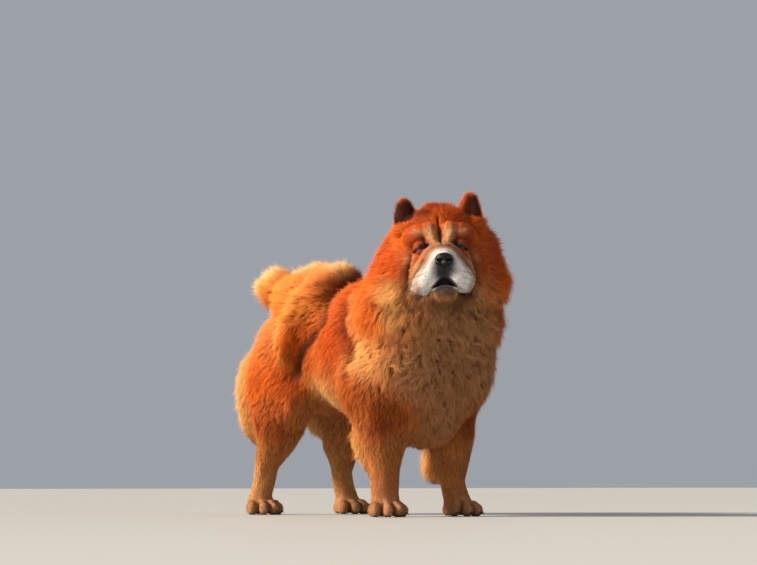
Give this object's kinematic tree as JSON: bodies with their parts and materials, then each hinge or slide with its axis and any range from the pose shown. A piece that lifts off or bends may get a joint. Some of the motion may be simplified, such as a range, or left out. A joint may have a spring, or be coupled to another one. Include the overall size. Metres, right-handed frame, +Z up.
{
  "type": "chow chow dog model",
  "caption": "Life-size still model of a red chow chow standing square, with its head turned and its plumed tail over the back.",
  "frame": {"origin": "on the floor, under the middle of the dog's bounding box", "axes": "+Z up, -Y the way the body faces, +X the dog's left side"},
  "size_m": [0.3558, 0.7732, 0.6695],
  "materials": {
    "coat_red": "dense soft fur, matt",
    "coat_gold": "dense soft fur, matt",
    "ear_coat": "short velvety fur",
    "muzzle_coat": "short smooth fur",
    "nose_leather": "damp pebbled leather",
    "eye": "wet and glossy"
  },
  "bodies": {
    "root": {"head": "coat_red", "neck": "coat_gold", "trunk": "coat_red", "upper_arm_left": "coat_red", "upper_arm_right": "coat_red", "thigh_left": "coat_red", "thigh_right": "coat_red", "front_shin_left": "coat_gold", "front_shin_right": "coat_gold", "hind_shin_left": "coat_gold", "hind_shin_right": "coat_gold", "front_paw_left": "coat_gold", "front_paw_right": "coat_gold", "hind_paw_left": "coat_gold", "hind_paw_right": "coat_gold", "tail_base": "coat_gold", "tail_tip": "coat_gold", "ear_left": "ear_coat", "ear_right": "ear_coat", "jaw": "muzzle_coat", "nose": "nose_leather", "eye_left": "eye", "eye_right": "eye"}
  },
  "joints": []
}
